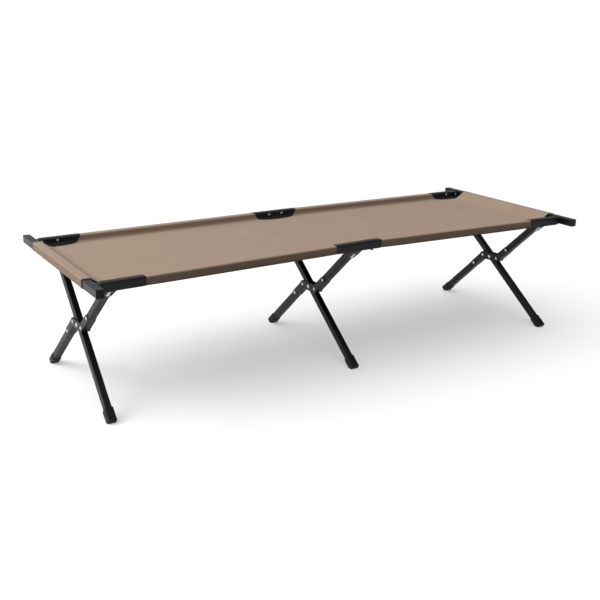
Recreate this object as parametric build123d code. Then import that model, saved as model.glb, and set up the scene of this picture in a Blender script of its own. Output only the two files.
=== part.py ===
from build123d import *
from math import acos, atan2, copysign, cos, degrees, hypot, radians, sin, tan
import os

# A folding camp cot: two bowed side rails on three scissor leg sets, held apart by two end bars.
# X runs along the cot, Y across it and Z up. The origin is on the floor, under the middle.
# The near side is -Y and the far side is +Y. All sizes are in millimetres.

# Driving sizes of the frame
LENGTH = 1900.0
BAR_LENGTH = 740.0
BAR_ABOVE_RAIL = 1.8
RAIL_Y = 296.0
RAIL_Z = 433.4
RAIL_END_X = 921.0
HINGE_X = 50.0
BOW = 14.0
ARCH = 8.0
TUBE = 25.0
WALL = 1.6
TUBE_ROUND = 3.0
LEAST_ROUND = 1.0
GAP = 0.3
MARGIN = 1.0

# Leg sets: one straight leg, and one made of two offset tubes joined by a pair of plates
END_LEG_X = 882.0
MIDDLE_LEG_X = -7.0
PIVOT_Z = 226.0
FOOT_Y = 295.0
TUBE_OFFSET = 26.0
TUBE_CUT = 22.0
STRAIGHT_LEG_WIDTH = 21.6
SPLAY = 3.6
PLATE = 2.0
PLATE_RIVETS = (31.0, 104.0)
PLATE_ARM = 24.0
PLATE_WAIST = 29.0
RIVET_R = 3.0
RIVET_HEAD_R = 5.6
RIVET_HEAD = 2.0
PIVOT_R = 4.0
PIVOT_HEAD_R = 7.2
BUSH_R = 6.0
RUNNING = 0.05

# Feet
FOOT_SIZE = 29.0
FOOT_ROUND = 5.0
FOOT_START = 2.0
FOOT_END = 50.0
LEG_START = 24.0
SOLE_ROUND = 3.0

# Leg brackets under the rails
BRACKET_HALF = 34.0
BRACKET_RIVET_X = 26.0
SMALL_RIVET_R = 2.5
SMALL_HEAD_R = 5.0
SMALL_HEAD = 1.6
BLIND_END = 1.5
EAR_GAP = 0.3
EAR_TOP_HALF = 20.0
EAR_LOW_HALF = 13.0
EAR_BELOW_BOLT = 13.0
EAR_TAPER = 34.0
BOLT_BELOW_END = 27.0
BOLT_HEAD_R = 6.5
BOLT_HEAD = 2.6
DETENT_ABOVE_BOLT = 14.0
DETENT_R = 2.6
DETENT_HEAD_R = 5.6
DETENT_BITE = 0.8
LEG_END_GAP = 0.7

# Mid hinge of each rail
LEAF = 20.0
LEAF_WIDTH = 22.0
KNUCKLE_R = 3.6
MIDDLE_KNUCKLE = 3.9
HINGE_PIN_R = 1.8

# End bars and the pegs that hold them
BAR_WIDTH = 25.0
BAR_HEIGHT = 27.0
BAR_WALL = 2.0
CAP_FLANGE = 3.0
CAP_CHAMFER = 1.0
CAP_PLUG = 15.0
PEG_R = 4.0
PEG_LENGTH = 6.3
PEG_Z = 429.5
PEG_FLANGE = 2.2
PLUG_LENGTH = 22.0
SOCKET_R = 4.3
SOCKET_IN = 6.4
SOCKET_UP = 9.2

# Fabric, as plain closed solids
FABRIC = 1.0
PATCH = 0.9
SHEET = 1.2
SHEET_ABOVE_RAIL_BOTTOM = 2.1
SLEEVE_END = 914.0
HEM_HALF = 250.0
CORNER_NOTCH = 17.0
PATCH_LENGTH = 140.0
MIDDLE_PATCH_HALF = 92.0
LOBE_DEPTH = 36.0
PATCH_RIVET_X = 27.0
PATCH_RIVET_UP = 5.0

HALF_TUBE = TUBE / 2
SLEEVE_IN = HALF_TUBE + GAP
SLEEVE_OUT = SLEEVE_IN + FABRIC
PATCH_IN = SLEEVE_OUT + GAP
PATCH_OUT = PATCH_IN + PATCH
BAR_OUTER_X = LENGTH / 2 - FABRIC - GAP
BAR_X = BAR_OUTER_X - BAR_WIDTH / 2
BAR_Z = RAIL_Z + BAR_ABOVE_RAIL
LEG_REACH = hypot(FOOT_Y, PIVOT_Z)
STRAIGHT_TILT = degrees(atan2(FOOT_Y, PIVOT_Z))
CROSS_TILT = degrees(acos(TUBE_OFFSET / LEG_REACH) - atan2(PIVOT_Z, FOOT_Y))
CROSS_REACH = (LEG_REACH**2 - TUBE_OFFSET**2) ** 0.5
SHEET_LOW = SHEET_ABOVE_RAIL_BOTTOM - HALF_TUBE
LOBE_LOW = SHEET_LOW + SHEET + GAP
LEG_SETS = {"left": -END_LEG_X, "middle": MIDDLE_LEG_X, "right": END_LEG_X}
SIDES = {"near": -1, "far": 1}
BIG = 3000.0


def save(name, *solids):
    """Write the solids of one sub-part to its own file."""
    shape = solids[0] if len(solids) == 1 else Compound(children=list(solids))
    shape.label = name
    export_step(shape, f"parts/{name}.step")


# Plain shapes, along each axis of a local frame


def block(x, y, z):
    """A box between two limits on each axis."""
    size = [high - low for low, high in (x, y, z)]
    middle = [(low + high) / 2 for low, high in (x, y, z)]
    return Pos(*middle) * Box(*size)


def rod_x(radius, x, y, z):
    return Pos(sum(x) / 2, y, z) * Rot(0, 90, 0) * Cylinder(radius, x[1] - x[0])


def rod_y(radius, x, y, z):
    return Pos(x, sum(y) / 2, z) * Rot(90, 0, 0) * Cylinder(radius, y[1] - y[0])


def rod_z(radius, x, y, z):
    return Pos(x, y, sum(z) / 2) * Cylinder(radius, z[1] - z[0])


def tube_outline(width, height, inset=0.0):
    """A square tube's outline, or the outline a wall further in."""
    corner = max(TUBE_ROUND - inset, LEAST_ROUND)
    return RectangleRounded(width - 2 * inset, height - 2 * inset, corner)


def tube_section(width, height, wall):
    return tube_outline(width, height) - tube_outline(width, height, wall)


def tube_x(x, width, height, wall):
    section = tube_section(width, height, wall)
    return extrude(Plane.YZ.offset(x[0]) * section, x[1] - x[0])


def tube_z(z, width, height, wall):
    section = tube_section(width, height, wall)
    return extrude(Plane.XY.offset(z[0]) * section, z[1] - z[0])


def dome(radius, height):
    """A rivet's head: a spherical cap that stands on Z = 0."""
    ball = (radius**2 + height**2) / (2 * height)
    cap = Pos(0, 0, height - ball) * Sphere(ball)
    return cap & block((-radius, radius), (-radius, radius), (0, 2 * height))


def rivet(radius, length, head_radius, head, tail=True):
    """A rivet along Z, with its shank centred on the origin."""
    shank = Cylinder(radius, length)
    top = Pos(0, 0, length / 2) * dome(head_radius, head)
    if not tail:
        return shank + top
    return shank + top + Rot(180, 0, 0) * top


# Frames: one along each half of a rail, and one along each leg


def knee(side):
    """Where the two halves of a rail meet, at its hinge."""
    return Vector(HINGE_X, side * (RAIL_Y - BOW), RAIL_Z + ARCH)


def rail_end(side, half):
    return Vector(half * RAIL_END_X, side * RAIL_Y, RAIL_Z)


def rail_plane(side, half):
    """X runs along this half of the rail, from the hinge, Y across it and Z up."""
    along = (rail_end(side, half) - knee(side)) * half
    along = along.normalized()
    across = Vector(0, 0, 1).cross(along).normalized()
    return Plane(origin=knee(side), x_dir=along, z_dir=along.cross(across))


def rail_length(side, half):
    return (rail_end(side, half) - knee(side)).length


def along_rail(side, half, x):
    """The place along the rail's own X that lies at a given X of the cot."""
    return (x - HINGE_X) / rail_plane(side, half).x_dir.X


def rail_centre(side, x):
    half = 1 if x > HINGE_X else -1
    share = (x - HINGE_X) / (half * RAIL_END_X - HINGE_X)
    return side * (RAIL_Y - BOW * (1 - share)), RAIL_Z + ARCH * (1 - share)


def leg_plane(side, x):
    """Z runs up the leg to this side's rail, Y to its upper face. The far rail's leg is straight."""
    tilt = radians(STRAIGHT_TILT if side > 0 else CROSS_TILT)
    up = (0, side * sin(tilt), cos(tilt))
    return Plane(origin=(x, 0, PIVOT_Z), x_dir=(-side, 0, 0), z_dir=up)


def leg_offset(side):
    """How far the upper tube of this side's leg stands off the pivot."""
    return 0.0 if side > 0 else -TUBE_OFFSET


def on_leg(side, offset, height):
    """The place along the leg, and the Y of the cot, where a line beside it reaches a height."""
    plane = leg_plane(side, 0)
    along = (height - PIVOT_Z - offset * plane.y_dir.Z) / plane.z_dir.Z
    return along, offset * plane.y_dir.Y + along * plane.z_dir.Y


def lean(x):
    """How far a leg set leans outwards along the cot, for each unit of its height."""
    return 0.0 if x == MIDDLE_LEG_X else copysign(tan(radians(SPLAY)), x)


def splayed(shape, x):
    """A piece of a leg set, slanted so that the set's feet stand further out than its top."""
    slope = lean(x)
    rows = [[1, 0, -slope, slope * PIVOT_Z], [0, 1, 0, 0], [0, 0, 1, 0], [0, 0, 0, 1]]
    return shape.transform_geometry(Matrix(rows)) if slope else shape


def bracket_x(side, x):
    """Where along the cot a slanted leg meets the rail."""
    return x - lean(x) * (plate_top(side, x) - PIVOT_Z)


def below(height):
    return block((-BIG, BIG), (-BIG, BIG), (-BIG, height))


def plate_top(side, x):
    """The underside of the rail, where a bracket's plate meets it."""
    return rail_centre(side, x)[1] - HALF_TUBE


def bolt_place(side, x):
    """Where the bracket's bolt crosses the leg."""
    end, _ = on_leg(side, leg_offset(side), leg_end(side, x))
    return end - BOLT_BELOW_END


def leg_end(side, x):
    return plate_top(side, x) - PLATE - LEG_END_GAP


# Rails, their hinges and their end pegs


def legs_on(half):
    return [x for x in LEG_SETS.values() if (x > HINGE_X) == (half > 0)]


def bracket_rivet_places(side, half):
    """The rivets of each bracket on this half of a rail, along the rail."""
    offsets = (-BRACKET_RIVET_X, BRACKET_RIVET_X)
    return [along_rail(side, half, bracket_x(side, x)) + offset for x in legs_on(half) for offset in offsets]


def patch_rivet_places(side, half):
    """The rivets of each patch on this half of a rail, along the rail."""
    offsets = (-PATCH_RIVET_X, PATCH_RIVET_X)
    return [along_rail(side, half, x) + offset for x in legs_on(half) for offset in offsets]


def rivet_holes(side, half):
    """Bores up through the rail's underside for the brackets, and across its inner wall for the patches."""
    radius = SMALL_RIVET_R + RUNNING
    up = [rod_z(radius, x, 0, (-TUBE, 0)) for x in bracket_rivet_places(side, half)]
    reach = sorted((0, -side * TUBE))
    across = [rod_y(radius, x, reach, PATCH_RIVET_UP) for x in patch_rivet_places(side, half)]
    return up + across


def rail(side, half):
    ends = sorted((half * MARGIN, half * rail_length(side, half)))
    tube = tube_x(ends, TUBE, TUBE, WALL)
    for hole in rivet_holes(side, half):
        tube -= hole
    return rail_plane(side, half) * tube


def hinge_leaf(side, half, knuckles):
    """A flat leaf under the rail, with the knuckles that turn on the pin."""
    leaf = block(
        sorted((half * (KNUCKLE_R + GAP), half * LEAF)),
        (-LEAF_WIDTH / 2, LEAF_WIDTH / 2),
        (-HALF_TUBE - PLATE, -HALF_TUBE),
    )
    shape = rail_plane(side, half) * leaf
    pin_z = -HALF_TUBE - KNUCKLE_R - GAP
    frame = Plane(origin=knee(side))
    for y in knuckles:
        barrel = rod_y(KNUCKLE_R, 0, y, pin_z)
        link_x = sorted((0, half * (KNUCKLE_R + 2 * GAP + MARGIN)))
        link = block(link_x, y, (-HALF_TUBE - PLATE + GAP, -HALF_TUBE - GAP))
        shape += frame * (barrel + link)
    bore = rod_y(HINGE_PIN_R + RUNNING, 0, (-TUBE, TUBE), pin_z)
    return shape - frame * bore


def rail_hinge(side):
    """Two leaves and the pin they turn on."""
    edge = LEAF_WIDTH / 2
    inner = MIDDLE_KNUCKLE + GAP
    left = hinge_leaf(side, -1, [(-edge, -inner), (inner, edge)])
    right = hinge_leaf(side, 1, [(-MIDDLE_KNUCKLE, MIDDLE_KNUCKLE)])
    pin = Rot(90, 0, 0) * rivet(HINGE_PIN_R, 2 * edge + 2 * GAP, KNUCKLE_R - GAP, RIVET_HEAD / 2)
    pin_frame = Plane(origin=knee(side) - Vector(0, 0, HALF_TUBE + KNUCKLE_R + GAP))
    return left, right, pin_frame * pin


def rail_peg(side, half):
    """The plug in a rail's end, with the peg that an end bar hangs on."""
    length = rail_length(side, half)
    plug = tube_outline(TUBE, TUBE, WALL + RUNNING)
    plug_start = half * (length - PLUG_LENGTH)
    plug = extrude(Plane.YZ.offset(plug_start) * plug, half * (PLUG_LENGTH + PEG_FLANGE / 2))
    flange = tube_outline(TUBE, TUBE)
    flange = extrude(Plane.YZ.offset(half * length) * flange, half * PEG_FLANGE)
    body = plug + flange
    for hole in rivet_holes(side, half):
        body -= hole
    start = half * (RAIL_END_X + PEG_FLANGE / 2)
    tip = half * (RAIL_END_X + PEG_FLANGE + PEG_LENGTH)
    peg = rod_x(PEG_R, sorted((start, tip)), side * RAIL_Y, PEG_Z)
    return rail_plane(side, half) * body + peg


# Legs


def straight_leg(x):
    """The leg from the near foot to the far rail."""
    top, _ = on_leg(1, 0, RAIL_Z + TUBE)
    tube = tube_z((LEG_START - LEG_REACH, top), STRAIGHT_LEG_WIDTH, TUBE, WALL)
    tube -= rod_x(BUSH_R + RUNNING, (-TUBE, TUBE), 0, 0)
    tube -= bracket_holes(1, x)
    return leg_plane(1, x) * tube & below(leg_end(1, x))


def bracket_holes(side, x):
    """The bore for the bracket's bolt and the hole for its detent, in the leg's frame."""
    place = bolt_place(side, x)
    offset = leg_offset(side)
    reach = (offset - TUBE, offset + TUBE)
    bore = rod_y(RIVET_R + RUNNING, 0, reach, place)
    detent = rod_y(DETENT_R + GAP, 0, (offset - TUBE, offset), place + DETENT_ABOVE_BOLT)
    return bore + detent


def plate_rivet_places(end):
    """The rivets on one arm of the cross plates: 1 for the upper arm, -1 for the lower."""
    return [(-end * TUBE_OFFSET, end * along) for along in PLATE_RIVETS]


def offset_leg(x, end):
    """The near rail's leg above the plates, or the far foot's leg below them."""
    top, _ = on_leg(-1, -TUBE_OFFSET, RAIL_Z + TUBE)
    limits = (TUBE_CUT, top) if end > 0 else (LEG_START - CROSS_REACH, -TUBE_CUT)
    tube = Pos(0, -end * TUBE_OFFSET, 0) * tube_z(limits, TUBE, TUBE, WALL)
    for y, z in plate_rivet_places(end):
        tube -= rod_x(RIVET_R + RUNNING, (-TUBE, TUBE), y, z)
    if end > 0:
        tube -= bracket_holes(-1, x)
    shape = leg_plane(-1, x) * tube
    return shape & below(leg_end(-1, x)) if end > 0 else shape


def cross_plate(x, face):
    """An S-shaped plate that joins the two offset tubes across the straight leg."""
    near, far = PLATE_RIVETS
    arm = SlotCenterToCenter(far - near, PLATE_ARM)
    waist_length = hypot(2 * TUBE_OFFSET, 2 * near)
    waist_turn = degrees(atan2(-near, TUBE_OFFSET))
    outline = Rot(0, 0, waist_turn) * SlotCenterToCenter(waist_length, PLATE_WAIST)
    for end in (-1, 1):
        middle = Pos(-end * TUBE_OFFSET, end * (near + far) / 2)
        outline += middle * Rot(0, 0, 90) * arm
    plate = extrude(Plane.YZ.offset(face * HALF_TUBE) * outline, face * PLATE)
    places = plate_rivet_places(1) + plate_rivet_places(-1)
    for y, z in places:
        plate -= rod_x(RIVET_R + RUNNING, (-TUBE, TUBE), y, z)
    plate -= rod_x(PIVOT_R + RUNNING, (-TUBE, TUBE), 0, 0)
    return leg_plane(-1, x) * plate


def cross_rivets(x):
    """The four rivets that hold a pair of plates to the offset tubes."""
    length = TUBE + 2 * PLATE
    pin = Rot(0, 90, 0) * rivet(RIVET_R, length, RIVET_HEAD_R, RIVET_HEAD)
    places = plate_rivet_places(1) + plate_rivet_places(-1)
    return [leg_plane(-1, x) * Pos(0, y, z) * pin for y, z in places]


def cross_pivot(x):
    length = TUBE + 2 * PLATE
    pin = rivet(PIVOT_R, length, PIVOT_HEAD_R, BOLT_HEAD)
    return leg_plane(-1, x) * Rot(0, 90, 0) * pin


def pivot_bush(x):
    half = STRAIGHT_LEG_WIDTH / 2
    ring = rod_x(BUSH_R, (-half, half), 0, 0)
    ring -= rod_x(PIVOT_R + RUNNING, (-TUBE, TUBE), 0, 0)
    return leg_plane(1, x) * ring


def foot(side, x):
    """The cap on the foot of the leg that carries this side's rail, cut flat by the floor."""
    reach, offset = (LEG_REACH, 0) if side > 0 else (CROSS_REACH, TUBE_OFFSET)
    outline = RectangleRounded(FOOT_SIZE, FOOT_SIZE, FOOT_ROUND)
    cap = extrude(Plane.XY.offset(FOOT_START) * outline, FOOT_END - FOOT_START)
    cap = fillet(cap.faces().sort_by(Axis.Z)[0].edges(), SOLE_ROUND)
    width = STRAIGHT_LEG_WIDTH if side > 0 else TUBE
    pocket = tube_outline(width + 2 * RUNNING, TUBE + 2 * RUNNING)
    cap -= extrude(Plane.XY.offset(LEG_START - RUNNING) * pocket, FOOT_END)
    shape = leg_plane(side, x) * Pos(0, offset, -reach) * cap
    return shape - below(0)


# Brackets between the legs and the rails


def ear(side, x, face):
    """A tapered ear on the upper (1) or lower (-1) face of the leg."""
    place = bolt_place(side, x)
    low = place - EAR_BELOW_BOLT
    wide = place + EAR_TAPER - EAR_BELOW_BOLT
    outline = Polygon(
        (-EAR_LOW_HALF, low),
        (EAR_LOW_HALF, low),
        (EAR_TOP_HALF, wide),
        (EAR_TOP_HALF, wide + BRACKET_HALF),
        (-EAR_TOP_HALF, wide + BRACKET_HALF),
        (-EAR_TOP_HALF, wide),
        align=None,
    )
    outline = fillet(outline.vertices().sort_by(Axis.Y)[:2], EAR_LOW_HALF / 2)
    plate = extrude(Plane.XZ * outline, PLATE)
    inner = HALF_TUBE + EAR_GAP
    start = inner + PLATE if face > 0 else -inner
    return Pos(0, leg_offset(side) + start, 0) * plate


def bracket(side, x):
    """A plate riveted under the rail, with two ears that hold the leg's end."""
    half = 1 if x > HINGE_X else -1
    inner_y = on_leg(side, leg_offset(side) + HALF_TUBE + EAR_GAP + PLATE, plate_top(side, x) - PLATE)[1]
    reach = abs(rail_centre(side, x)[0]) - abs(inner_y)
    centre = along_rail(side, half, bracket_x(side, x))
    base = block(
        (centre - BRACKET_HALF, centre + BRACKET_HALF),
        sorted((side * (HALF_TUBE - GAP), -side * reach)),
        (-HALF_TUBE - PLATE, -HALF_TUBE),
    )
    for hole in rivet_holes(side, half):
        base -= hole
    ears = ear(side, x, 1) + ear(side, x, -1)
    place = bolt_place(side, x)
    offset = leg_offset(side)
    ears -= rod_y(RIVET_R + RUNNING, 0, (offset - TUBE, offset + TUBE), place)
    ears -= rod_y(DETENT_R + RUNNING, 0, (offset - TUBE, offset), place + DETENT_ABOVE_BOLT)
    ears = leg_plane(side, x) * ears & below(plate_top(side, x) - PLATE / 2)
    return rail_plane(side, half) * base + splayed(ears, x)


def bracket_bolt(side, x):
    """The bolt that the leg swings on, across the ears."""
    grip = 2 * (HALF_TUBE + EAR_GAP + PLATE)
    pin = Rot(90, 0, 0) * rivet(RIVET_R, grip, BOLT_HEAD_R, BOLT_HEAD)
    return leg_plane(side, x) * Pos(0, leg_offset(side), bolt_place(side, x)) * pin


def detent(side, x):
    """A small rivet in the lower ear whose tip rests in a hole of the leg."""
    outer = HALF_TUBE + EAR_GAP + PLATE
    length = outer - HALF_TUBE + DETENT_BITE
    pin = Rot(90, 0, 0) * rivet(DETENT_R, length, DETENT_HEAD_R, RIVET_HEAD, tail=False)
    place = bolt_place(side, x) + DETENT_ABOVE_BOLT
    frame = leg_plane(side, x)
    return frame * Pos(0, leg_offset(side) - outer + length / 2, place) * pin


def bracket_rivets(side, half):
    """Blind rivets from under a bracket's plate into the rail."""
    low, high = -HALF_TUBE - PLATE, -HALF_TUBE + WALL + BLIND_END
    pin = Rot(180, 0, 0) * rivet(SMALL_RIVET_R, high - low, SMALL_HEAD_R, SMALL_HEAD, tail=False)
    frame = rail_plane(side, half)
    return [frame * Pos(x, 0, (low + high) / 2) * pin for x in bracket_rivet_places(side, half)]


def patch_rivets(side, half):
    """Blind rivets through a patch and the sleeve, into the inner wall of the rail."""
    start, finish = HALF_TUBE - WALL - BLIND_END, PATCH_OUT
    pin = rivet(SMALL_RIVET_R, finish - start, SMALL_HEAD_R, SMALL_HEAD, tail=False)
    frame = rail_plane(side, half)
    middle = -side * (start + finish) / 2
    turn = Rot(side * 90, 0, 0)
    return [frame * Pos(x, middle, PATCH_RIVET_UP) * turn * pin for x in patch_rivet_places(side, half)]


# End bars


def end_bar(end):
    """A tube across the end, with two slanted slots that drop over the rails' pegs."""
    section = tube_section(BAR_WIDTH, BAR_HEIGHT, BAR_WALL)
    half_length = BAR_LENGTH / 2 - CAP_FLANGE
    tube = extrude(Plane.XZ.offset(-half_length) * section, 2 * half_length)
    tube = Pos(end * BAR_X, 0, BAR_Z) * tube
    wall_x = sorted((end * (BAR_X - BAR_WIDTH), end * BAR_X))
    for side in SIDES.values():
        start = rod_x(SOCKET_R, wall_x, side * RAIL_Y, PEG_Z)
        finish = rod_x(SOCKET_R, wall_x, side * (RAIL_Y - SOCKET_IN), PEG_Z + SOCKET_UP)
        run = hypot(SOCKET_IN, SOCKET_UP)
        turn = side * degrees(atan2(SOCKET_IN, SOCKET_UP))
        middle = Pos(end * (BAR_X - BAR_WIDTH / 2), side * (RAIL_Y - SOCKET_IN / 2), PEG_Z + SOCKET_UP / 2)
        link = middle * Rot(turn, 0, 0) * Box(BAR_WIDTH, 2 * SOCKET_R, run)
        tube -= start + finish + link
    return tube


def bar_cap(end, side):
    """A plastic cap on one end of a bar."""
    edge = BAR_LENGTH / 2
    flange = tube_outline(BAR_WIDTH, BAR_HEIGHT)
    flange = extrude(Plane.XZ.offset(-side * edge) * flange, side * CAP_FLANGE)
    outer = max(flange.faces(), key=lambda face: side * face.center().Y)
    flange = chamfer(outer.edges(), CAP_CHAMFER)
    inset = BAR_WALL + RUNNING
    plug = tube_outline(BAR_WIDTH, BAR_HEIGHT, inset)
    plug_start = -side * (edge - CAP_FLANGE / 2)
    plug = extrude(Plane.XZ.offset(plug_start) * plug, side * CAP_PLUG)
    return Pos(end * BAR_X, 0, BAR_Z) * (flange + plug)


# Fabric


def swept(side, span, section):
    """A section across the rail, swept along it between two places on the cot's X."""
    stops = [span[0], HINGE_X, span[1]] if span[0] < HINGE_X < span[1] else list(span)
    shape = None
    for start, finish in zip(stops, stops[1:]):
        places = [Vector(x, *rail_centre(side, x)) for x in (start, finish)]
        path = places[1] - places[0]
        plane = Plane(origin=places[0], x_dir=(0, 1, 0), z_dir=(1, 0, 0))
        part = extrude(plane * section, path.length, dir=path.normalized())
        shape = part if shape is None else shape + part
    return shape


def rectangle(y, z):
    """A rectangle between two limits across the rail and two in height."""
    middle = Pos(sum(y) / 2, sum(z) / 2)
    return middle * Rectangle(max(y) - min(y), max(z) - min(z))


def without_rivet_holes(side, shape):
    for half in (-1, 1):
        for hole in rivet_holes(side, half):
            shape -= rail_plane(side, half) * hole
    return shape


def sleeve(side):
    """The pocket that a rail runs through, open below for the brackets and the hinge."""
    width = 2 * SLEEVE_OUT
    shape = swept(side, (-SLEEVE_END, SLEEVE_END), tube_section(width, width, FABRIC))
    tops = [bracket_x(side, x) for x in LEG_SETS.values()]
    spans = [(x - BRACKET_HALF - MARGIN, x + BRACKET_HALF + MARGIN) for x in tops]
    spans.append((HINGE_X - LEAF - MARGIN, HINGE_X + LEAF + MARGIN))
    for span in spans:
        _, height = rail_centre(side, sum(span) / 2)
        low = (height - TUBE, height - HALF_TUBE + 2 * GAP)
        shape -= block(span, (-BIG, BIG), low)
    return without_rivet_holes(side, shape)


def patch(side, span):
    """A reinforcing patch: down both sides of the sleeve, with a rounded lobe on the sheet."""
    inward = -side
    width = 2 * PATCH_OUT
    wall = tube_section(width, width, PATCH)
    wall -= rectangle((-TUBE, TUBE), (-TUBE, -SLEEVE_OUT))
    wall -= rectangle((0, inward * TUBE), (-TUBE, LOBE_LOW))
    reach = PATCH_IN + LOBE_DEPTH
    strip = rectangle((inward * PATCH_IN, inward * reach), (LOBE_LOW, LOBE_LOW + PATCH))
    centre = sum(span) / 2
    centre_y = rail_centre(side, centre)[0] + inward * PATCH_IN
    lobe = Pos(centre, centre_y) * Ellipse((span[1] - span[0]) / 2, LOBE_DEPTH)
    lobe = swept(side, span, strip) & extrude(lobe, BIG)
    return without_rivet_holes(side, swept(side, span, wall) + lobe)


def patch_spans():
    end = SLEEVE_END - PATCH_LENGTH
    middle = MIDDLE_LEG_X - MIDDLE_PATCH_HALF, MIDDLE_LEG_X + MIDDLE_PATCH_HALF
    return {"left": (-SLEEVE_END, -end), "middle": middle, "right": (end, SLEEVE_END)}


def bed_sheet():
    """The stretched sheet between the sleeves, arched a little towards the hinges."""
    end_x = BAR_X - BAR_WIDTH / 2 - 2 * GAP - FABRIC
    rise = ARCH * (end_x - HINGE_X) / (RAIL_END_X - HINGE_X)
    low = RAIL_Z + SHEET_LOW
    profile = Polygon(
        (-end_x, low),
        (HINGE_X, low + ARCH),
        (end_x, low + ARCH - rise),
        (end_x, low + ARCH - rise + SHEET),
        (HINGE_X, low + ARCH + SHEET),
        (-end_x, low + SHEET),
        align=None,
    )
    slab = extrude(Plane.XZ * profile, BAR_LENGTH / 2, both=True)
    edge = RAIL_Y - SLEEVE_OUT - 2 * GAP
    notch_x = end_x - CORNER_NOTCH
    quarter = [(-end_x, HEM_HALF), (-notch_x, edge), (HINGE_X, edge - BOW)]
    quarter += [(notch_x, edge), (end_x, HEM_HALF)]
    mirrored = [(x, -y) for x, y in reversed(quarter)]
    outline = extrude(make_face(Polyline(*quarter, *mirrored, close=True)), BIG)
    return slab & outline


def hem(end):
    """The pocket at the sheet's end, round the end bar."""
    inner = BAR_WIDTH + 2 * GAP, BAR_HEIGHT + 2 * GAP
    outer = inner[0] + 2 * FABRIC, inner[1] + 2 * FABRIC
    section = RectangleRounded(*outer, TUBE_ROUND + FABRIC) - RectangleRounded(*inner, TUBE_ROUND)
    ring = extrude(Plane.XZ * section, HEM_HALF, both=True)
    return Pos(end * BAR_X, 0, BAR_Z) * ring


def build():
    os.makedirs("parts", exist_ok=True)
    for name, side in SIDES.items():
        for half_name, half in (("left", -1), ("right", 1)):
            save(f"{name}_rail_{half_name}", rail(side, half))
        for patch_name, span in patch_spans().items():
            save(f"{name}_patch_{patch_name}", patch(side, span))
        save(f"{name}_rail_hinge", *rail_hinge(side))
        save(f"{name}_rail_pegs", *[rail_peg(side, half) for half in (-1, 1)])
        save(f"{name}_sleeve", sleeve(side))
        save(f"{name}_bracket_rivets", *bracket_rivets(side, -1), *bracket_rivets(side, 1))
        save(f"{name}_patch_rivets", *patch_rivets(side, -1), *patch_rivets(side, 1))
        save(f"{name}_leg_bolts", *[splayed(bracket_bolt(side, x), x) for x in LEG_SETS.values()])
        save(f"{name}_leg_detents", *[splayed(detent(side, x), x) for x in LEG_SETS.values()])
        for set_name, x in LEG_SETS.items():
            save(f"{name}_bracket_{set_name}", bracket(side, x))
            # The far rail's leg stands on the near foot, and the near rail's on the far foot.
            foot_name = "near" if side > 0 else "far"
            save(f"{foot_name}_foot_{set_name}", splayed(foot(side, x), x))
    for set_name, x in LEG_SETS.items():
        save(f"straight_leg_{set_name}", splayed(straight_leg(x), x))
        save(f"upper_leg_{set_name}", splayed(offset_leg(x, 1), x))
        save(f"lower_leg_{set_name}", splayed(offset_leg(x, -1), x))
        save(f"cross_plates_{set_name}", *[splayed(cross_plate(x, face), x) for face in (-1, 1)])
    save("cross_rivets", *[splayed(pin, x) for x in LEG_SETS.values() for pin in cross_rivets(x)])
    save("cross_pivots", *[splayed(cross_pivot(x), x) for x in LEG_SETS.values()])
    save("pivot_bushes", *[splayed(pivot_bush(x), x) for x in LEG_SETS.values()])
    for end_name, end in (("left", -1), ("right", 1)):
        save(f"end_bar_{end_name}", end_bar(end))
        save(f"bar_caps_{end_name}", *[bar_cap(end, side) for side in (-1, 1)])
        save(f"hem_{end_name}", hem(end))
    save("bed_sheet", bed_sheet())


build()
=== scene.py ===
import math

import bmesh
import bpy
from mathutils import Matrix, Vector, noise

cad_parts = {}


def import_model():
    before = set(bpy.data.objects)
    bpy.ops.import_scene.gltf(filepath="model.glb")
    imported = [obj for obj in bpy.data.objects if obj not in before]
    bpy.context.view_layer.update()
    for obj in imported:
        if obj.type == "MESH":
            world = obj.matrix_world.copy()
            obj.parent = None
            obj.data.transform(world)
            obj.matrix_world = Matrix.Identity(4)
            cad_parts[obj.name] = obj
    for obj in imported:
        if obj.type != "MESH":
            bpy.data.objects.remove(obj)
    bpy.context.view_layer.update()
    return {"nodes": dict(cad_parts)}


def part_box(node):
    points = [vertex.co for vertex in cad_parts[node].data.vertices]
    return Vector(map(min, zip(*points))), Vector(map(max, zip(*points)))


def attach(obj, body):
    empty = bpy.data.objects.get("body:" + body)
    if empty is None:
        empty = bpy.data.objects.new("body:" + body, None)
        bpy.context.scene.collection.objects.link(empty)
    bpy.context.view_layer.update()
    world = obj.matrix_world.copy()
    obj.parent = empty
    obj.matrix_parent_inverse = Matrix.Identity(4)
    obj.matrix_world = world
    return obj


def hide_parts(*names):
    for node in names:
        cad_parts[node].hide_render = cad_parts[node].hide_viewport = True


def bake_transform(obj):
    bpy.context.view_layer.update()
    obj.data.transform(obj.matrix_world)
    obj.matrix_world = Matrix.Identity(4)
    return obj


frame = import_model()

# A folding camp cot. The CAD frame stays as it is and gets new finishes. The cloth, the patches and the
# stitching are built here, in metres, from the boxes of the CAD nodes. The near side is -Y.

SIDES = {"near": -1, "far": 1}
ENDS = {"left": -1, "right": 1}
MM = 0.001


# Where the frame is

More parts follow.
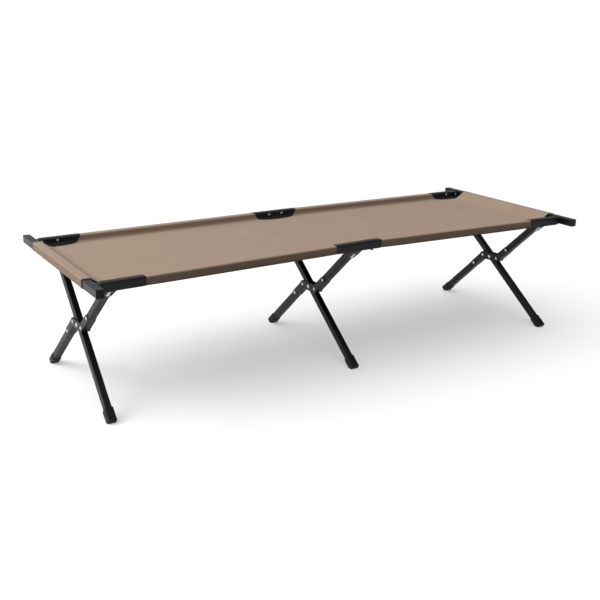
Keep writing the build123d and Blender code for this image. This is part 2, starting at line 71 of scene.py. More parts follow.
RAIL_HALF = 12.5 * MM
rail_low, rail_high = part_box("near_rail_left")
RAIL_END_X = -rail_low.x
RAIL_END_Y = -rail_low.y - RAIL_HALF
RAIL_END_Z = rail_low.z + RAIL_HALF
BOW = RAIL_END_Y + rail_high.y - RAIL_HALF
ARCH = rail_high.z - RAIL_HALF - RAIL_END_Z
hinge_low, hinge_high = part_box("near_rail_hinge")
KNEE_X = (hinge_low.x + hinge_high.x) / 2
bar_low, bar_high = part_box("end_bar_right")
BAR_X = (bar_low.x + bar_high.x) / 2
BAR_Z = (bar_low.z + bar_high.z) / 2
SLEEVE_END_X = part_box("near_sleeve")[1].x
HEM_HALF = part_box("hem_left")[1].y


def rail_centre(x):
    """How far out, and how high, the middle of a rail is at x."""
    reach = KNEE_X + RAIL_END_X if x < KNEE_X else RAIL_END_X - KNEE_X
    towards_knee = 1 - abs(x - KNEE_X) / reach
    return RAIL_END_Y - BOW * towards_knee, RAIL_END_Z + ARCH * towards_knee


# Sizes of the soft parts, as distances from the middle of a rail or a bar

CLOTH = 1.0 * MM
SLEEVE_HALF = 13.5 * MM
SLEEVE_ROUND = 4.3 * MM
SHEET_DROP = 9.8 * MM
FLAP = 20.0 * MM
FLAP_DROP = 1.15 * MM
SEAM_ROUND = 10.0 * MM
JOIN = SLEEVE_HALF + SEAM_ROUND
HEM_X = 13.3 * MM
HEM_Z = 14.3 * MM
HEM_START = 66.0 * MM
HEM_FLAP = 60.0 * MM
HEM_FOOT = 50.0 * MM
HEM_ROWS = (52.0 * MM, 57.0 * MM)
PATCH = 0.9 * MM
PATCH_HALF = 14.6 * MM
PATCH_DROP = 8.45 * MM
LOBE = 27.0 * MM
DEEPEST_SAG = 1.1 * MM
SAG_REACH = 0.12
SLOW_WAVE = 0.9 * MM
SEAM_FOLDS = 0.55 * MM
END_FOLDS = 0.5 * MM
LOBE_FOLDS = 0.5 * MM
PATCH_START = {}
for which in ("left", "middle", "right"):
    patch_low, patch_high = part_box(f"near_patch_{which}")
    PATCH_START[which] = (patch_low.x, patch_high.x)
BRACKETS = {}
for which in ("left", "middle", "right"):
    bracket_low, bracket_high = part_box(f"near_bracket_{which}")
    BRACKETS[which] = (bracket_low.x - MM, bracket_high.x + MM)
OPENINGS = list(BRACKETS.values()) + [(hinge_low.x - MM, hinge_high.x + MM)]


# Plain helpers


def rounded(corners, radii, step):
    """Points along straight runs whose inner corners are rounded, in a plane."""
    corners = [Vector(c) for c in corners]
    runs = [corners[0]]
    for before, corner, after, radius in zip(corners, corners[1:], corners[2:], radii):
        back = (before - corner).normalized()
        ahead = (after - corner).normalized()
        opening = back.angle(ahead)
        away = radius / math.tan(opening / 2)
        start, end = corner + back * away, corner + ahead * away
        middle = corner + (back + ahead).normalized() * radius / math.sin(opening / 2)
        turn = math.pi - opening
        count = max(3, math.ceil(turn / math.radians(18)))
        from_middle, to_end = start - middle, end - middle
        runs.append(start)
        for k in range(1, count):
            share = k / count
            weights = math.sin((1 - share) * turn), math.sin(share * turn)
            runs.append(middle + (from_middle * weights[0] + to_end * weights[1]) / math.sin(turn))
        runs.append(end)
    runs.append(corners[-1])
    points = [runs[0]]
    for a, b in zip(runs, runs[1:]):
        count = max(1, math.ceil((b - a).length / step))
        points += [a.lerp(b, k / count) for k in range(1, count + 1) if (b - a).length > 1e-7]
    return points


def lengths(points):
    """Distance along a path at each of its points."""
    total = [0.0]
    for a, b in zip(points, points[1:]):
        total.append(total[-1] + (b - a).length)
    return total


def at_length(points, along, s):
    """The point at distance s along a path, and the path's direction there."""
    s = min(max(s, 0.0), along[-1])
    k = max(i for i in range(len(along) - 1) if along[i] <= s or i == 0)
    share = (s - along[k]) / max(along[k + 1] - along[k], 1e-9)
    return points[k].lerp(points[k + 1], share), (points[k + 1] - points[k]).normalized()


def stations(low, high, step, extra=()):
    """Even places from low to high, with exact ones added and their close neighbours dropped."""
    count = max(1, round((high - low) / step))
    even = [low + (high - low) * k / count for k in range(count + 1)]
    fixed = sorted({low, high, *[x for x in extra if low < x < high]})
    kept = [x for x in even if all(abs(x - f) > 0.4 * step for f in fixed)]
    return sorted(kept + fixed)


def soft_noise(x, y, seed):
    return noise.noise(Vector((x, y, seed)))


class Grid:
    """Collects rows of points into one mesh, with the cloth's own flat coordinates as its UVs."""

    def __init__(self):
        self.mesh = bmesh.new()
        self.uv = self.mesh.loops.layers.uv.new("cloth")

    def add(self, rows, flat, keep=None):
        vertices = [[self.mesh.verts.new(p) for p in row] for row in rows]
        for i in range(len(rows) - 1):
            for j in range(len(rows[0]) - 1):
                if keep and not keep(i, j):
                    continue
                around = ((i, j), (i + 1, j), (i + 1, j + 1), (i, j + 1))
                face = self.mesh.faces.new([vertices[a][b] for a, b in around])
                for loop, (a, b) in zip(face.loops, around):
                    loop[self.uv].uv = flat(a, b)

    def finish(self, name, thickness):
        """Welds what was added, gives it thickness, and makes it an object."""
        bmesh.ops.remove_doubles(self.mesh, verts=self.mesh.verts, dist=1e-5)
        loose = [v for v in self.mesh.verts if not v.link_faces]
        bmesh.ops.delete(self.mesh, geom=loose, context="VERTS")
        bmesh.ops.recalc_face_normals(self.mesh, faces=self.mesh.faces)
        surface = bpy.data.meshes.new(name)
        self.mesh.to_mesh(surface)
        self.mesh.free()
        piece = place(name, surface)
        thicken = piece.modifiers.new("thickness", "SOLIDIFY")
        thicken.thickness = thickness
        thicken.offset = 0
        thickened = piece.evaluated_get(bpy.context.evaluated_depsgraph_get())
        made = bpy.data.meshes.new_from_object(thickened)
        piece.modifiers.clear()
        piece.data = made
        tidy_surface(piece)
        return piece


def place(name, mesh):
    piece = bpy.data.objects.new(name, mesh)
    bpy.context.scene.collection.objects.link(piece)
    bpy.context.view_layer.update()
    return piece


def tidy_surface(piece):
    work = bmesh.new()
    work.from_mesh(piece.data)
    bmesh.ops.recalc_face_normals(work, faces=work.faces)
    for face in work.faces:
        face.smooth = True
    work.to_mesh(piece.data)
    work.free()
    piece.data.set_sharp_from_angle(angle=math.radians(55))


# The bed cloth: one cut of cloth, wrapped round both rails and both end bars


def sleeve_path():
    """From the flap, round a rail and on to the sheet, as (inward, up) from the rail's middle."""
    half = SLEEVE_HALF
    flap_z = -SHEET_DROP - FLAP_DROP
    corners = [(half + FLAP, flap_z), (half, flap_z), (half, -half), (-half, -half), (-half, half)]
    corners += [(half, half), (half, -SHEET_DROP), (JOIN + 2 * MM, -SHEET_DROP)]
    radii = (1.2 * MM, 1.6 * MM, SLEEVE_ROUND, SLEEVE_ROUND, SLEEVE_ROUND, SEAM_ROUND)
    return rounded(corners, radii, 6 * MM)


def covered(x, margin=0.0):
    """Whether a patch lies over the rail at x."""
    return any(low - margin < x < high + margin for low, high in PATCH_START.values())


def sag(x):
    """How far the bottom of the sleeve hangs below the rail, between the brackets."""
    edges = [edge for span in OPENINGS for edge in span] + [-SLEEVE_END_X, SLEEVE_END_X]
    if any(low <= x <= high for low, high in OPENINGS):
        return 0.0
    near = min(abs(x - edge) for edge in edges)
    return DEEPEST_SAG * min(near / SAG_REACH, 1.0) ** 0.8


def ripple(x, y):
    """Small folds in the sheet: by the seams, round the patches, and a slow wave over all of it."""
    out, _ = rail_centre(x)
    from_seam = out - JOIN - abs(y)
    from_end = BAR_X - HEM_START - abs(x)
    side = 1 if y > 0 else -1
    height = SLOW_WAVE * soft_noise(2.2 * x, 3.0 * y, 3.0)
    height += SEAM_FOLDS * soft_noise(24 * x, 5 * y, 9.0 + side) * math.exp(-from_seam / 0.055)
    height += END_FOLDS * soft_noise(4 * x, 22 * y, 17.0) * math.exp(-max(from_end, 0) / 0.05)
    for low, high in PATCH_START.values():
        across, along = abs(y) - (out - JOIN - LOBE * 0.3), x - (low + high) / 2
        far = math.hypot(across, along * 0.7)
        turn = math.atan2(across, along * 0.7)
        height += LOBE_FOLDS * math.cos(8 * turn + side) * math.exp(-(((far - 0.075) / 0.035) ** 2))
    under_lobe = min(max((from_seam - LOBE * 0.9) / 0.02, 0), 1) if covered(x, 0.012) else 1
    calm = min(max(from_seam / 0.012, 0), 1) * min(max(from_end / 0.02, 0), 1) * under_lobe
    return height * calm


def sheet_share():
    """Places across the sheet, closer together by the seams, as shares of its width."""
    by_seam = [0, 0.006, 0.014, 0.024, 0.036, 0.05, 0.066]
    steps = 20
    inner = [by_seam[-1] + (0.5 - by_seam[-1]) * k / steps for k in range(1, steps + 1)]
    half = by_seam + inner
    return half + [1 - share for share in reversed(half[:-1])]


SLEEVE = sleeve_path()
SHARES = sheet_share()


def cloth_column(x):
    """All the points of the cloth at x, from the near flap round to the far flap."""
    out, up = rail_centre(x)
    drop = sag(x)
    around = []
    for point in SLEEVE:
        low = min(max((-point.y - 0.5 * SLEEVE_HALF) / (0.5 * SLEEVE_HALF), 0), 1)
        inside = 1 if point.x < SLEEVE_HALF - MM else 0
        around.append((out - point.x, up + point.y - drop * low * inside))
    near = [Vector((x, -y, z)) for y, z in around]
    far = [Vector((x, y, z)) for y, z in reversed(around)]
    edge = out - SLEEVE[-1].x
    sheet = []
    for share in SHARES[1:-1]:
        y = edge * (2 * share - 1)
        sheet.append(Vector((x, y, up - SHEET_DROP + ripple(x, y))))
    return near + sheet + far


def hem_path():
    """From the sheet over an end bar and back, as (outward, up) from the bar's middle."""
    _, up = rail_centre(BAR_X - HEM_START)
    level = up - SHEET_DROP - BAR_Z
    under = level - FLAP_DROP
    corners = [(-HEM_START, level), (-HEM_FOOT, level), (-HEM_X, HEM_Z)]
    corners += [(HEM_X, HEM_Z), (HEM_X, -HEM_Z), (-HEM_X - MM, -HEM_Z)]
    corners += [(-HEM_X - 5 * MM, under), (-HEM_FLAP, under)]
    radii = (40 * MM, 5 * MM, 4 * MM, 4 * MM, 3 * MM, 2 * MM)
    return rounded(corners, radii, 5 * MM)


HEM = hem_path()


def bed_cloth():
    grid = Grid()
    main_end = BAR_X - HEM_START
    edges = [edge for span in OPENINGS for edge in span]
    xs = stations(-main_end, main_end, 9 * MM, edges)
    rows = [cloth_column(x) for x in xs]
    around = lengths([Vector(p) for p in rows[0]])

    def closed_below(i, j):
        middle = (rows[i][j] + rows[i + 1][j + 1]) / 2
        out, up = rail_centre(middle.x)
        inside = SLEEVE_HALF - 1.2 * MM
        below = middle.z < up - inside and abs(abs(middle.y) - out) < inside
        return not (below and any(low < middle.x < high for low, high in OPENINGS))

    grid.add(rows, lambda i, j: (xs[i], around[j]), closed_below)
    first = len(SLEEVE) - 1
    last = len(rows[0]) - len(SLEEVE)
    along = lengths(HEM)
    for end in ENDS.values():
        row = rows[0] if end < 0 else rows[-1]
        # The sleeves run on past the sheet, to the ends of the pockets
        more = stations(main_end, SLEEVE_END_X, 6 * MM)
        beyond = [cloth_column(end * x) for x in more]
        for start, stop in ((0, first + 1), (last, len(row))):
            tail = [column[start:stop] for column in beyond]
            grid.add(tail, lambda i, j: (end * more[i], around[start + j]))
        # The hem goes over the bar, and is a little narrower than the sheet
        joined = row[first : last + 1]
        hem_rows = [[p.copy() for p in joined]]
        for p in HEM[1:]:
            widths = [min(max(q.y, -HEM_HALF), HEM_HALF) for q in joined]
            hem_rows.append([Vector((end * (BAR_X + p.x), y, BAR_Z + p.y)) for y in widths])

        def within(i, j):
            return max(abs(joined[j].y), abs(joined[j + 1].y)) <= HEM_HALF + 8 * MM

        grid.add(hem_rows, lambda i, j: (end * (main_end + along[i]), around[first + j]), within)
    return grid.finish("bed_cloth", CLOTH)


# The patches over the sleeves, at the ends and by the middle legs


def patch_path():
    """Up the outer side of a rail, over it, down inside and on to the sheet, as (inward, up)."""
    half = PATCH_HALF
    corners = [(-half, -half + 0.8 * MM), (-half, half), (half, half), (half, -PATCH_DROP)]
    corners.append((half + LOBE, -PATCH_DROP))
    return rounded(corners, (SLEEVE_ROUND + MM, SLEEVE_ROUND + MM, SEAM_ROUND), 4 * MM)


PATCH_LINE = patch_path()
PATCH_ALONG = lengths(PATCH_LINE)
LOBE_START = next(s for s, p in zip(PATCH_ALONG, PATCH_LINE) if p.x > -0.2 * PATCH_HALF)


def patch_reach(span, share):
    """Where a patch starts and ends along its path, at a share from -1 to 1 of its length.

    An end patch keeps most of its depth beside the bar, and a middle one narrows both ways."""
    low, high = span
    full = 0.0 if low * high < 0 else math.copysign(0.25, low)
    from_deepest = min(abs(share - full) / (1 + abs(full)), 1)
    curve = (1 - from_deepest**2.3) ** 0.5
    corner = 8 * MM * max((abs(share) - 0.9) / 0.1, 0) ** 2
    return corner, LOBE_START + (PATCH_ALONG[-1] - LOBE_START) * curve


def patch_point(side, x, s, lift=0.0):
    """A point on a patch's middle surface, s along its path, raised by lift."""
    point, direction = at_length(PATCH_LINE, PATCH_ALONG, s)
    outward = Vector((-direction.y, direction.x))
    point = point + outward * lift
    out, up = rail_centre(x)
    return Vector((x, side * (out - point.x), up + point.y))


def patch(name, side, span):
    grid = Grid()
    low, high = span
    centre, half = (low + high) / 2, (high - low) / 2
    count = 44
    shares = [math.sin(math.pi / 2 * (2 * k / count - 1)) for k in range(count + 1)]
    shares = [max(min(share, 0.9995), -0.9995) for share in shares]
    steps = 40
    rows, flats = [], []
    for share in shares:
        start, end = patch_reach(span, share)
        places = [start + (end - start) * k / steps for k in range(steps + 1)]
        x = centre + half * share
        rows.append([patch_point(side, x, s) for s in places])
        flats.append([(x, s) for s in places])
    grid.add(rows, lambda i, j: flats[i][j])
    return grid.finish(name, PATCH)


# Stitching: rows of short raised threads


def thread_row(work, places, normals, pitch, width):
    """Adds one thread per pitch along a line of places to a mesh in the making."""
    along = lengths(places)
    count = int(along[-1] / pitch)
    for k in range(count):
        begin = (k + STITCH_GAP) * along[-1] / count
        end = (k + 1 - STITCH_GAP) * along[-1] / count
        a, _ = at_length(places, along, begin)
        b, _ = at_length(places, along, end)
        middle_at = (begin + end) / 2
        middle, direction = at_length(places, along, middle_at)
        nearest = min(range(len(along)), key=lambda i: abs(along[i] - middle_at))
        up = normals[nearest]
        across = direction.cross(up).normalized() * width / 2
        rise = up.normalized() * width * 0.45
        ring = [middle + across, middle + rise, middle - across, middle - rise * 0.6]
        low_ends = [a - rise * 0.3, b - rise * 0.3]
        corners = [work.verts.new(p) for p in ring + low_ends]
        for i in range(4):
            work.faces.new((corners[i], corners[(i + 1) % 4], corners[4]))
            work.faces.new((corners[(i + 1) % 4], corners[i], corners[5]))


def finish_threads(name, work):
    bmesh.ops.recalc_face_normals(work, faces=work.faces)
    mesh = bpy.data.meshes.new(name)
    work.to_mesh(mesh)
    work.free()
    mesh.set_sharp_from_angle(angle=math.radians(180))
    return place(name, mesh)


UP = Vector((0, 0, 1))
THREAD = 0.8 * MM
PITCH = 4.2 * MM
STITCH_GAP = 0.12
EDGE_INSET = 3.2 * MM
TAPE_WIDTH = 3.2 * MM
SEAM_ROWS = (JOIN + 2 * MM, JOIN + 7 * MM)


def lobe_covers(x, inward):
    """Whether a patch's lobe covers the sheet at x, this far inward of the rail's middle."""
    for span in PATCH_START.values():
        share = (2 * x - sum(span)) / (span[1] - span[0])
        along = PATCH_ALONG[-1] - LOBE + (inward - PATCH_HALF) - 3 * MM
        if abs(share) < 1 and patch_reach(span, share)[1] > along:
            return True
    return False


def seam_threads():
    """Two rows beside each sleeve and two beside each hem, on top of the sheet and under its flaps."""
    work = bmesh.new()
    main_end = BAR_X - HEM_START
    xs = stations(-main_end, main_end, 6 * MM)
    for side in SIDES.values():
        for inward in SEAM_ROWS:
            line = []
            for x in xs + [None]:
                if x is not None and not lobe_covers(x, inward):
                    out, up = rail_centre(x)
                    y = side * (out - inward)
                    line.append(Vector((x, y, up - SHEET_DROP + CLOTH / 2 + ripple(x, y))))
                elif len(line) > 3:
                    thread_row(work, line, [UP] * len(line), PITCH, THREAD)
                    line = []
                else:
                    line = []
            below = []
            for x in xs:
                out, up = rail_centre(x)
                drop = SHEET_DROP + FLAP_DROP + CLOTH / 2
                below.append(Vector((x, side * (out - inward), up - drop)))
            thread_row(work, below, [-UP] * len(below), PITCH, THREAD)
    level = HEM[0].y + BAR_Z
    for end in ENDS.values():
        for back in HEM_ROWS:
            ys = stations(-HEM_HALF + 3 * MM, HEM_HALF - 3 * MM, 8 * MM)
            for height, normal in ((level + CLOTH / 2, UP), (level - FLAP_DROP - CLOTH / 2, -UP)):
                line = [Vector((end * (BAR_X - back), y, height)) for y in ys]
                thread_row(work, line, [normal] * len(line), PITCH, THREAD)
    return finish_threads("seam_stitches", work)


def patch_threads(name, side, spans):
    """One row just inside the edge of each patch on a side."""
    work = bmesh.new()
    inset = EDGE_INSET
    for span in spans:
        centre, half = sum(span) / 2, (span[1] - span[0]) / 2
        lift = PATCH / 2
        steps = 60
        shares = [(2 * k / steps - 1) * (1 - inset / half) for k in range(steps + 1)]
        outline = []
        for share in shares:
            outline.append((centre + half * share, patch_reach(span, share)[1] - inset))
        (first_x, first_s), (last_x, last_s) = outline[0], outline[-1]
        downs = [k / 14 for k in range(1, 15)]
        lower = [(x, inset) for x, _ in reversed(outline)]
        outline += [(last_x, last_s + (inset - last_s) * k) for k in downs]
        outline += lower[1:]
        outline += [(first_x, inset + (first_s - inset) * k) for k in downs]
        places = [patch_point(side, x, s, lift) for x, s in outline]
        above = [patch_point(side, x, s, lift + MM) for x, s in outline]
        thread_row(work, places, [b - a for a, b in zip(places, above)], PITCH, THREAD)
    return finish_threads(name, work)


def hem_binding():
    """A narrow tape round both ends of each hem, where the bar comes out."""
    tape = Grid()
    wide = TAPE_WIDTH
    stand = CLOTH / 2 + 0.3 * MM
    start = next(k for k, p in enumerate(HEM) if p.y > HEM_Z - 14 * MM)
    stop = max(k for k, p in enumerate(HEM) if p.x > -HEM_X and p.y < 0)
    line = HEM[start : stop + 1]
    along = lengths(line)
    for end in ENDS.values():
        for side in SIDES.values():
            rows = []
            for k in range(len(line)):
                before, after = line[max(k - 1, 0)], line[min(k + 1, len(line) - 1)]
                direction = (after - before).normalized()
                away = Vector((-direction.y, direction.x)) * stand
                point = line[k] + away
                x, z = end * (BAR_X + point.x), BAR_Z + point.y
                ys = [side * (HEM_HALF + 0.3 * MM - wide * t) for t in (0, 0.5, 1)]
                rows.append([Vector((x, y, z)) for y in ys])
            tape.add(rows, lambda i, j: (along[i], j * wide / 2))
    return tape.finish("hem_binding", 0.5 * MM)


# Materials


def linear(red, green, blue):
    """A colour given as sRGB from 0 to 255, for a shader's socket."""
    shares = [c / 255 for c in (red, green, blue)]
    return tuple([c / 12.92 if c <= 0.04045 else ((c + 0.055) / 1.055) ** 2.4 for c in shares] + [1.0])


class Finish:
    """A procedural material, with short ways to add and join its nodes."""

    def __init__(self, name):
        self.material = bpy.data.materials.new(name)
        self.material.use_nodes = True
        self.tree = self.material.node_tree
        self.shader = next(n for n in self.tree.nodes if n.type == "BSDF_PRINCIPLED")

    def node(self, kind, inputs=(), **settings):
        made = self.tree.nodes.new("ShaderNode" + kind)
        for key, value in settings.items():
            setattr(made, key, value)
        for key, value in dict(inputs).items():
            if isinstance(value, bpy.types.NodeSocket):
                self.tree.links.new(value, made.inputs[key])
            else:
                made.inputs[key].default_value = value
        return made

    def maths(self, operation, a, b=0.0):
        return self.node("Math", {0: a, 1: b}, operation=operation).outputs[0]

    def noise(self, where, scale, detail=3.0, rough=0.55):
        inputs = {"Vector": where, "Scale": scale, "Detail": detail, "Roughness": rough}
        return self.node("TexNoise", inputs).outputs["Fac"]

    def stretched(self, where, scale):
        return self.node("Mapping", {"Vector": where, "Scale": scale}).outputs[0]

    def ramp(self, value, stops):
        made = self.node("ValToRGB", {"Fac": value})
        ramp = made.color_ramp
        while len(ramp.elements) < len(stops):
            ramp.elements.new(0.5)
        for element, (position, colour) in zip(ramp.elements, stops):
            element.position = position
            element.color = colour
        return made.outputs["Color"]

    def mix(self, share, a, b, blend="MIX"):
        made = self.node("Mix", data_type="RGBA", blend_type=blend)
        for key, value in ((0, share), (6, a), (7, b)):
            if isinstance(value, bpy.types.NodeSocket):
                self.tree.links.new(value, made.inputs[key])
            else:
                made.inputs[key].default_value = value
        return made.outputs[2]

    def between(self, value, low, high):
        inputs = {"Value": value, "To Min": low, "To Max": high}
        return self.node("MapRange", inputs).outputs[0]

    def bump(self, height, distance, strength=1.0, normal=None):
        inputs = {"Height": height, "Distance": distance, "Strength": strength}
        if normal is not None:
            inputs["Normal"] = normal
        return self.node("Bump", inputs).outputs[0]

    def set(self, **sockets):
        for key, value in sockets.items():
            socket = self.shader.inputs[key.replace("_", " ")]
            if isinstance(value, bpy.types.NodeSocket):
                self.tree.links.new(value, socket)
            else:
                socket.default_value = value
        return self.material


def cloth_finish():
    """Plain-weave polyester in taupe: yarns, slubs, lengthwise streaks and a dull sheen."""
    f = Finish("taupe_weave")
    flat = f.node("UVMap", uv_map="cloth").outputs[0]
    axes = f.node("SeparateXYZ", {0: flat}).outputs
    pitch = 1.15 * MM
    warp = f.maths("SINE", f.maths("MULTIPLY", axes[0], math.pi / pitch))
    weft = f.maths("SINE", f.maths("MULTIPLY", axes[1], math.pi / pitch))
    over = f.maths("MULTIPLY", warp, weft)
    yarns = f.maths("MULTIPLY", f.maths("ABSOLUTE", warp), f.maths("ABSOLUTE", weft))
    weave = f.maths("ADD", f.maths("MULTIPLY", over, 0.35), yarns)
    slub_x = f.noise(f.stretched(flat, (18, 700, 1)), 1.0, 2.0)
    slub_y = f.noise(f.stretched(flat, (700, 18, 1)), 1.0, 2.0)
    mottle = f.noise(flat, 7.0, 5.0, 0.6)
    speckle = f.noise(flat, 260.0, 2.0, 0.6)
    body = f.ramp(mottle, [(0.3, linear(141, 121, 104)), (0.7, linear(147, 126, 108))])
    bands = f.noise(f.stretched(flat, (1.6, 150, 1)), 1.0, 3.0)
    streaks = f.between(f.maths("ADD", f.maths("MULTIPLY", slub_x, 1.5), slub_y), 0.72, 1.14)
    shade = f.maths("MULTIPLY", streaks, f.between(speckle, 0.9, 1.1))
    shade = f.maths("MULTIPLY", shade, f.between(bands, 0.8, 1.2))
    shade = f.maths("MULTIPLY", shade, f.between(weave, 0.9, 1.06))
    tone = f.node("CombineColor", {0: shade, 1: shade, 2: shade}).outputs[0]
    colour = f.mix(1.0, body, tone, "MULTIPLY")
    height = f.bump(weave, 0.25 * MM, 0.55)
    height = f.bump(f.maths("ADD", slub_x, slub_y), 0.25 * MM, 0.4, height)
    rough = f.between(speckle, 0.78, 0.92)
    f.set(Base_Color=colour, Roughness=rough, Normal=height)
    return f.set(Sheen_Weight=0.12, Sheen_Roughness=0.5, Specular_IOR_Level=0.25)


def patch_finish():
    """Black coated fabric: a fine pebbled grain, soft creases and a low gloss."""
    f = Finish("black_coated_fabric")
    where = f.node("TexCoord").outputs["Object"]
    pebbles = f.node("TexVoronoi", {"Vector": where, "Scale": 900.0}).outputs["Distance"]
    creases = f.noise(f.stretched(where, (40, 120, 120)), 1.0, 4.0, 0.6)
    dust = f.noise(where, 30.0, 5.0, 0.65)
    base = f.ramp(dust, [(0.3, linear(6, 7, 9)), (0.75, linear(12, 13, 16))])
    normal = f.bump(pebbles, 0.12 * MM, 0.5)
    normal = f.bump(creases, 0.9 * MM, 0.5, normal)
    rough = f.between(creases, 0.36, 0.58)
    f.set(Base_Color=base, Roughness=rough, Normal=normal)
    return f.set(Specular_IOR_Level=0.25, Sheen_Weight=0.02)


def thread_finish(name, low, high):
    """Twisted sewing thread."""
    f = Finish(name)
    where = f.node("TexCoord").outputs["Object"]
    twist = f.node("TexWave", {"Vector": where, "Scale": 900.0, "Distortion": 1.0}).outputs["Fac"]
    colour = f.ramp(twist, [(0.2, low), (0.8, high)])
    rough = f.between(twist, 0.6, 0.8)
    normal = f.bump(twist, 0.1 * MM, 0.5)
    return f.set(Base_Color=colour, Roughness=rough, Normal=normal, Sheen_Weight=0.2)


def coated_metal(name, dark, light, rough_low, rough_high, wear=0.35):
    """Black powder coat: orange peel, fine pimples, and edges rubbed a little lighter."""
    f = Finish(name)
    where = f.node("TexCoord").outputs["Object"]
    peel = f.noise(where, 420.0, 2.0, 0.5)
    pimples = f.noise(where, 1500.0, 2.0, 0.6)
    clouds = f.noise(where, 14.0, 5.0, 0.6)
    rubs = f.noise(f.stretched(where, (60, 60, 60)), 1.0, 6.0, 0.7)
    flat = f.node("NewGeometry").outputs["Normal"]
    soft = f.node("Bevel", {"Radius": 1.3 * MM}, samples=4).outputs[0]
    along = f.node("VectorMath", {0: flat, 1: soft}, operation="DOT_PRODUCT").outputs["Value"]
    edge = f.ramp(along, [(0.9, (1, 1, 1, 1)), (0.995, (0, 0, 0, 1))])
    rubbed = f.maths("MULTIPLY", edge, f.ramp(rubs, [(0.42, (0, 0, 0, 1)), (0.62, (1, 1, 1, 1))]))
    base = f.ramp(clouds, [(0.3, dark), (0.75, light)])
    worn = f.mix(f.maths("MULTIPLY", rubbed, wear), base, linear(64, 66, 69))
    normal = f.bump(peel, 0.10 * MM, 0.35)
    normal = f.bump(pimples, 0.05 * MM, 0.35, normal)
    polish = f.maths("MULTIPLY", rubbed, 0.08)
    rough = f.maths("SUBTRACT", f.between(clouds, rough_low, rough_high), polish)
    f.set(Base_Color=worn, Roughness=rough, Normal=normal)
    return f.set(Specular_IOR_Level=0.2)


def bright_metal():
    """Zinc-plated rivets and bolts, turned and a little dulled."""
    f = Finish("bright_zinc")
    where = f.node("TexCoord").outputs["Object"]
    turned = f.noise(f.stretched(where, (300, 300, 2400)), 1.0, 3.0, 0.6)
    tarnish = f.noise(where, 160.0, 5.0, 0.65)
    colour = f.ramp(tarnish, [(0.3, linear(182, 184, 187)), (0.7, linear(226, 228, 230))])
    rough = f.between(tarnish, 0.2, 0.42)
    normal = f.bump(turned, 0.04 * MM, 0.5)
    return f.set(Base_Color=colour, Roughness=rough, Normal=normal, Metallic=1.0)


def moulded_plastic(name, dark, light, rough_low, rough_high, grain):
    """Moulded plastic with a spark-eroded grain and scuffs."""
    f = Finish(name)
    where = f.node("TexCoord").outputs["Object"]
    spark = f.node("TexVoronoi", {"Vector": where, "Scale": grain}).outputs["Distance"]
    clouds = f.noise(where, 22.0, 5.0, 0.6)
    scuffs = f.noise(f.stretched(where, (500, 60, 90)), 1.0, 5.0, 0.7)
    base = f.ramp(clouds, [(0.3, dark), (0.75, light)])
    scuff_share = f.ramp(scuffs, [(0.62, (0, 0, 0, 1)), (0.8, (0.35, 0.35, 0.35, 1))])
    scuffed = f.mix(scuff_share, base, linear(74, 74, 76))
    normal = f.bump(spark, 0.10 * MM, 0.4)
    normal = f.bump(scuffs, 0.06 * MM, 0.3, normal)
    rough = f.between(clouds, rough_low, rough_high)
    return f.set(Base_Color=scuffed, Roughness=rough, Normal=normal, Specular_IOR_Level=0.18)


TAUPE = cloth_finish()
COATED_CLOTH = patch_finish()
TAUPE_THREAD = thread_finish("taupe_thread", linear(132, 114, 96), linear(172, 152, 130))
BLACK_THREAD = thread_finish("black_thread", linear(22, 23, 26), linear(58, 60, 64))
BINDING = thread_finish("dark_binding", linear(30, 28, 27), linear(56, 52, 48))
TUBE_COAT = coated_metal("black_tube_coat", linear(12, 13, 14), linear(20, 21, 22), 0.36, 0.52)
BAR_COAT = coated_metal("black_bar_coat", linear(13, 15, 17), linear(22, 24, 26), 0.3, 0.44)
STEEL_COAT = coated_metal("black_steel_coat", linear(15, 16, 17), linear(24, 25, 26), 0.34, 0.5, 0.4)
ZINC = bright_metal()
PLASTIC = moulded_plastic("black_plastic", linear(11, 12, 13), linear(20, 21, 22), 0.42, 0.6, 700.0)
PEG_PLASTIC = moulded_plastic("peg_plastic", linear(28, 29, 31), linear(42, 43, 45), 0.38, 0.5, 900.0)
BUSH_PLASTIC = moulded_plastic("bush_plastic", linear(70, 70, 70), linear(92, 92, 92), 0.4, 0.55, 900.0)

FINISHES = (
    (("rail_pegs",), PEG_PLASTIC),
    (("pivot_bushes",), BUSH_PLASTIC),
    (("foot", "bar_caps"), PLASTIC),
    (("rivets", "pivots", "bolts", "detents"), ZINC),
    (("bracket", "cross_plates", "rail_hinge"), STEEL_COAT),
    (("end_bar",), BAR_COAT),
    (("rail", "leg"), TUBE_COAT),
)


def finish_for(node_name):
    return next(finish for words, finish in FINISHES if any(word in node_name for word in words))


# Build the soft parts and join them to the frame

cloth = bed_cloth()
cloth.data.materials.clear()
cloth.data.materials.append(TAUPE)
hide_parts("bed_sheet", "near_sleeve", "far_sleeve", "hem_left", "hem_right")

seams = seam_threads()
seams.data.materials.append(TAUPE_THREAD)

binding = hem_binding()
binding.data.materials.append(BINDING)

for piece in (cloth, seams, binding):
    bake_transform(piece)

# The cut's width: from flap to flap across the cot
ACROSS = sum((b - a).length for a, b in zip(cloth_column(KNEE_X), cloth_column(KNEE_X)[1:]))

for side_name, side in SIDES.items():
    for which, span in PATCH_START.items():
        piece = patch(f"{side_name}_{which}_patch_cover", side, span)
        piece.data.materials.clear()
        piece.data.materials.append(COATED_CLOTH)
        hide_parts(f"{side_name}_patch_{which}")
        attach(piece, f"{side_name}_side")
    threads = patch_threads(f"{side_name}_patch_stitches", side, PATCH_START.values())
    threads.data.materials.append(BLACK_THREAD)
    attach(threads, f"{side_name}_side")

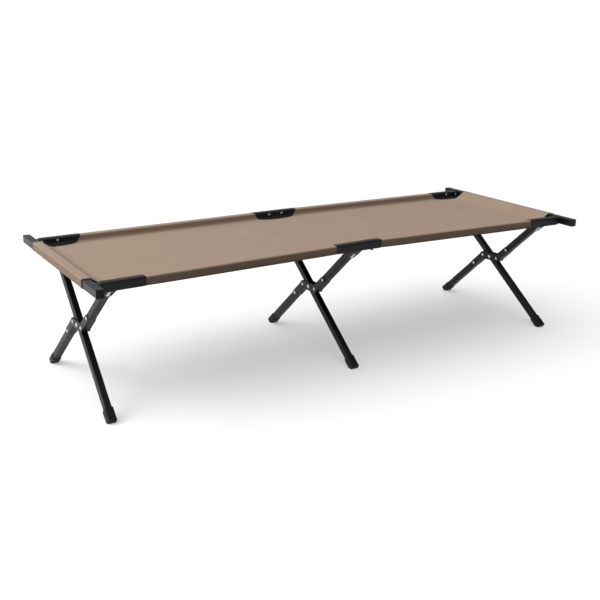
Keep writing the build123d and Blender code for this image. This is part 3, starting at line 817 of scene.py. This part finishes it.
for node_name, node in frame["nodes"].items():
    if node.hide_render:
        continue
    finish = finish_for(node_name)
    if not node.material_slots:
        node.data.materials.append(finish)
    for held in node.material_slots:
        held.material = finish


# Floor, light and camera

FLAT_FLOOR = 12.0
FLOOR_RISE = 0.004
FLOOR_DROP = 0.5 * MM


def floor():
    """A pale floor that rises very slowly far away, so that it fills the picture."""
    rings = [0.0, 3.0, 8.0] + [FLAT_FLOOR + 4.0 * k for k in range(15)]
    sectors = 64
    points = []
    for radius in rings:
        height = FLOOR_RISE * max(radius - FLAT_FLOOR, 0.0) ** 2 - FLOOR_DROP
        for k in range(sectors):
            turn = 2 * math.pi * k / sectors
            points.append((radius * math.cos(turn), radius * math.sin(turn), height))
    faces = []
    for ring in range(len(rings) - 1):
        for k in range(sectors):
            after = (k + 1) % sectors
            low, high = ring * sectors, (ring + 1) * sectors
            faces.append((low + k, high + k, high + after, low + after))
    mesh = bpy.data.meshes.new("floor")
    mesh.from_pydata(points, [], faces)
    for face in mesh.polygons:
        face.use_smooth = True
    piece = place("floor", mesh)
    f = Finish("pale_floor")
    where = f.node("TexCoord").outputs["Object"]
    clouds = f.noise(where, 1.5, 2.0, 0.5)
    shades = f.ramp(clouds, [(0.2, (0.64, 0.64, 0.64, 1)), (0.8, (0.66, 0.66, 0.66, 1))])
    f.set(Base_Color=shades, Roughness=0.9, Specular_IOR_Level=0.1)
    f.set(Emission_Color=(1.0, 1.0, 1.0, 1.0), Emission_Strength=0.36)
    piece.data.materials.append(f.material)
    piece.visible_diffuse = False


def world():
    """Soft light from above, behind and the left, fading to almost none from below and the front."""
    made = bpy.data.worlds.new("studio")
    bpy.context.scene.world = made
    made.use_nodes = True
    nodes, links = made.node_tree.nodes, made.node_tree.links
    where = nodes.new("ShaderNodeTexCoord")
    facing = nodes.new("ShaderNodeVectorMath")
    facing.operation = "DOT_PRODUCT"
    facing.inputs[1].default_value = Vector((-0.3, 0.35, 0.88)).normalized()
    fade = nodes.new("ShaderNodeMapRange")
    fade.interpolation_type = "SMOOTHSTEP"
    for key, value in (("From Min", -0.05), ("From Max", 0.95), ("To Min", 0.03), ("To Max", 0.75)):
        fade.inputs[key].default_value = value
    links.new(where.outputs["Generated"], facing.inputs[0])
    links.new(facing.outputs["Value"], fade.inputs["Value"])
    links.new(fade.outputs["Result"], nodes["Background"].inputs["Strength"])
    nodes["Background"].inputs["Color"].default_value = (1.0, 1.0, 1.0, 1)


def lamp(name, kind, place_at, aim, strength, **settings):
    light = bpy.data.lights.new(name, kind)
    light.energy = strength
    for key, value in settings.items():
        setattr(light, key, value)
    lit = bpy.data.objects.new(name, light)
    bpy.context.scene.collection.objects.link(lit)
    lit.location = place_at
    lit.rotation_euler = (Vector(aim) - Vector(place_at)).to_track_quat("-Z", "Y").to_euler()


def camera():
    """Stands to the left of the near side, a little above the bed, and looks along it."""
    yaw, pitch, roll = 0.5506, 0.30922, 0.01284
    ahead = Vector((math.sin(yaw) * math.cos(pitch), math.cos(yaw) * math.cos(pitch), -math.sin(pitch)))
    level = Vector((math.cos(yaw), -math.sin(yaw), 0))
    above = level.cross(ahead)
    right = level * math.cos(roll) + above * math.sin(roll)
    up = above * math.cos(roll) - level * math.sin(roll)
    made = bpy.data.objects.new("camera", bpy.data.cameras.new("camera"))
    bpy.context.scene.collection.objects.link(made)
    turn = Matrix((right, up, -ahead)).transposed().to_4x4()
    made.matrix_world = Matrix.Translation((-1.73041, -2.72337, 1.20018)) @ turn
    made.data.sensor_width = 36.0
    made.data.lens = 54.7
    made.data.shift_x = 0.0011
    made.data.clip_end = 200
    bpy.context.scene.camera = made


floor()
world()
lamp("key", "SUN", (-2.0, 0.8, 4.0), (0, 0, 0.3), 1.5, angle=math.radians(80))
lamp("fill", "SUN", (-0.6, -2.0, 3.2), (0, 0, 0.3), 0.4, angle=math.radians(40))
lamp("side", "AREA", (-3.0, 0.8, 2.0), (-0.7, 0, 0.4), 40.0, shape="RECTANGLE", size=2.0, size_y=1.6)
camera()
bpy.context.scene.view_settings.view_transform = "Standard"
